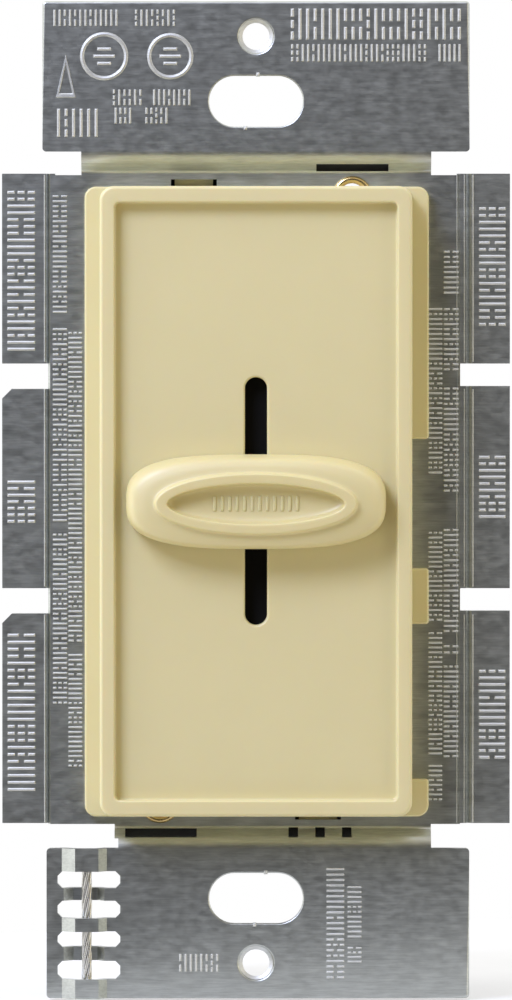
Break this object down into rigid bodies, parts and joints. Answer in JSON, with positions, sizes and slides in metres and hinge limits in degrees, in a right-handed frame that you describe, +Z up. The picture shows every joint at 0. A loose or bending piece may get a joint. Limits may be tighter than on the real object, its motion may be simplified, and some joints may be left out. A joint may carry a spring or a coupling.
{
  "type": "slide dimmer switch",
  "caption": "One-gang slide dimmer: metal yoke with break-off fins, ivory bezel with a vertical slot and a wide sliding knob, boxed circuit behind.",
  "frame": {"origin": "midway between the two device-screw slots, on the rear face of the mounting ears", "axes": "+X to the right seen from the front, +Y back into the wall, +Z up"},
  "size_m": [0.0532, 0.0415, 0.1042],
  "materials": {
    "yoke_aluminium": "rolled, satin",
    "ivory_plastic": "satin moulded",
    "black_nylon": "matte",
    "grey_fibre": "matte",
    "brass": "bright",
    "black_thermoset": "fine matte",
    "tinned_copper": "tinned",
    "plated_steel": "zinc plated",
    "phenolic": "matte",
    "natural_nylon": "matte",
    "spring_bronze": "bright",
    "board_laminate": "solder mask",
    "black_epoxy": "fine matte",
    "rivet_aluminium": "bright",
    "ferrite": "painted",
    "enamelled_copper": "enamelled",
    "red_epoxy": "dipped",
    "resistor_lacquer": "lacquered",
    "diac_lacquer": "lacquered"
  },
  "bodies": {
    "frame": {"mounting_yoke": "yoke_aluminium", "bezel": "ivory_plastic", "insulating_sheet": "grey_fibre", "housing_rivets": "brass", "rear_housing": "black_thermoset", "ground_conductor": "tinned_copper", "pot_cover": "plated_steel", "pot_element": "phenolic", "pot_terminals": "tinned_copper", "circuit_board": "board_laminate", "board_screws": "plated_steel", "triac_leadframe": "tinned_copper", "triac_package": "black_epoxy", "triac_rivet": "rivet_aluminium", "choke_core": "ferrite", "choke_winding": "enamelled_copper", "choke_clip": "natural_nylon", "film_capacitor": "red_epoxy", "timing_capacitor": "red_epoxy", "resistors": "resistor_lacquer", "diac": "diac_lacquer", "switch_rails": "brass", "lead_terminals": "brass"},
    "slider": {"slide_knob": "ivory_plastic", "slide_actuator": "black_nylon", "pot_carriage": "natural_nylon", "pot_wiper": "spring_bronze", "switch_bridge": "spring_bronze"}
  },
  "joints": [
    {"name": "dimmer_slide", "type": "slide", "parent": "frame", "child": "slider", "axis": [0, 0, 1], "range_m": [-0.01, 0.01]}
  ]
}
